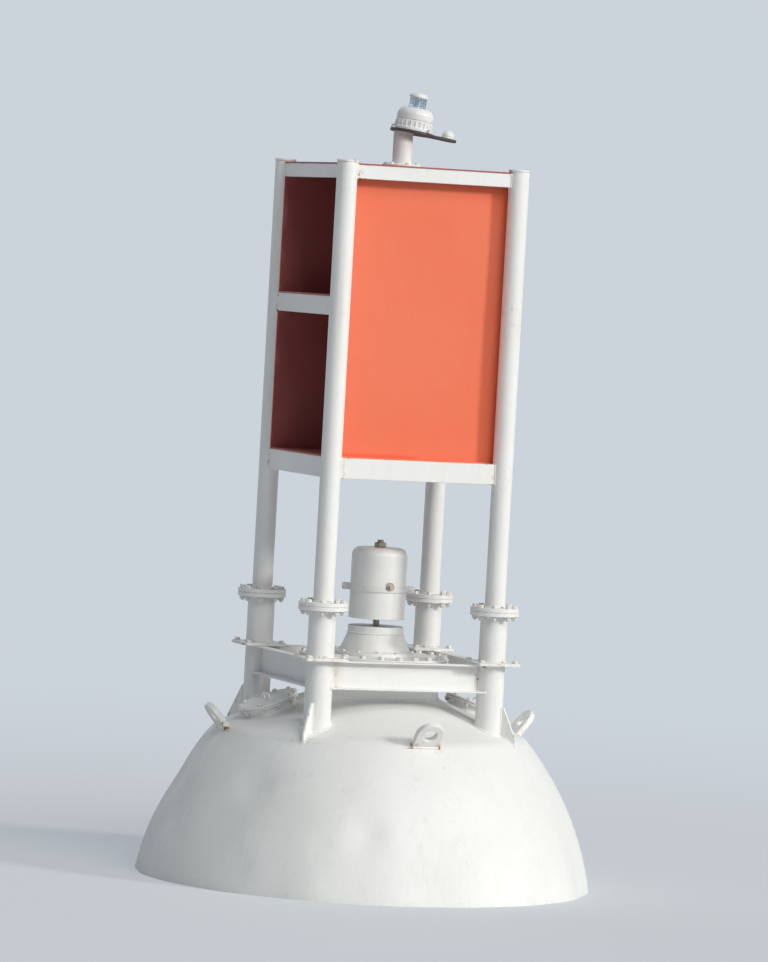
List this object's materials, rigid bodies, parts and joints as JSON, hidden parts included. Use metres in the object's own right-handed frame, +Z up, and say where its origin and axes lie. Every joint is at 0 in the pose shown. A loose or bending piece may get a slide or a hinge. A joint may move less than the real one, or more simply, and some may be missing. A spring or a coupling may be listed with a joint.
{
  "type": "lighted whistle buoy",
  "caption": "Steel whistle buoy: domed hull with tail tube, whistle, pipe-legged tower with flat daymarks, reflector pockets, lantern, and swinging mooring shackles.",
  "frame": {"origin": "on the buoy's axis at its waterline, afloat and upright", "axes": "+Z up along the buoy's axis, -Y towards the front daymark, +X towards the lantern's sensor"},
  "size_m": [2.4898, 2.4898, 7.8323],
  "materials": {
    "hull_paint": "weathered white marine paint above the boot line, dark bottom paint below it",
    "white_paint": "white marine paint, satin, with rust at edges and welds",
    "whistle_paint": "white marine paint over bronze, satin",
    "daymark_paint": "orange-red daymark paint, sun-bleached",
    "reflector_paint": "red paint, matt",
    "bottom_paint": "dark bottom paint, matt, with fouling",
    "cast_weight": "rough cast iron under dark paint",
    "shackle_steel": "galvanised forged steel, dull and stained",
    "lantern_plastic": "white moulded plastic",
    "lantern_lens": "clear moulded lens",
    "lantern_plate": "dark painted steel, matt"
  },
  "bodies": {
    "buoy": {"hull": "hull_paint", "trunk": "white_paint", "trunk_cover": "white_paint", "whistle_base": "whistle_paint", "whistle_bell": "whistle_paint", "whistle_spindle": "whistle_paint", "post_front_left": "white_paint", "post_front_right": "white_paint", "post_rear_left": "white_paint", "post_rear_right": "white_paint", "channel_front": "white_paint", "channel_right": "white_paint", "channel_rear": "white_paint", "channel_left": "white_paint", "stub_front_left": "white_paint", "stub_front_right": "white_paint", "stub_rear_left": "white_paint", "stub_rear_right": "white_paint", "leg_front_left": "white_paint", "leg_front_right": "white_paint", "leg_rear_left": "white_paint", "leg_rear_right": "white_paint", "bottom_bar_front": "white_paint", "bottom_bar_right": "white_paint", "bottom_bar_rear": "white_paint", "bottom_bar_left": "white_paint", "middle_bar_right": "white_paint", "middle_bar_left": "white_paint", "top_bar_front": "white_paint", "top_bar_right": "white_paint", "top_bar_rear": "white_paint", "top_bar_left": "white_paint", "panel_front": "daymark_paint", "panel_rear": "daymark_paint", "reflector_floor": "reflector_paint", "reflector_shelf": "reflector_paint", "reflector_roof": "reflector_paint", "reflector_web_low": "reflector_paint", "reflector_web_high": "reflector_paint", "lantern_post": "white_paint", "lantern_plate": "lantern_plate", "lantern_body": "lantern_plastic", "lantern_lens": "lantern_lens", "sensor": "lantern_plastic", "lifting_eye_front": "white_paint", "lifting_eye_right": "white_paint", "lifting_eye_rear": "white_paint", "lifting_eye_left": "white_paint", "pocket_left": "white_paint", "pocket_right": "white_paint", "tail_tube": "bottom_paint", "counterweight": "cast_weight", "mooring_eye_left": "bottom_paint", "mooring_eye_right": "bottom_paint"},
    "shackle_left": {"shackle_left": "shackle_steel"},
    "shackle_right": {"shackle_right": "shackle_steel"}
  },
  "joints": [
    {"name": "shackle_left_swing", "type": "hinge", "parent": "buoy", "child": "shackle_left", "pos_m": [-1.08, 0, -1.00047], "axis": [0, 1, 0], "range_deg": [-60, 90]},
    {"name": "shackle_right_swing", "type": "hinge", "parent": "buoy", "child": "shackle_right", "pos_m": [1.08, 0, -1.00047], "axis": [0, -1, 0], "range_deg": [-60, 90]}
  ]
}
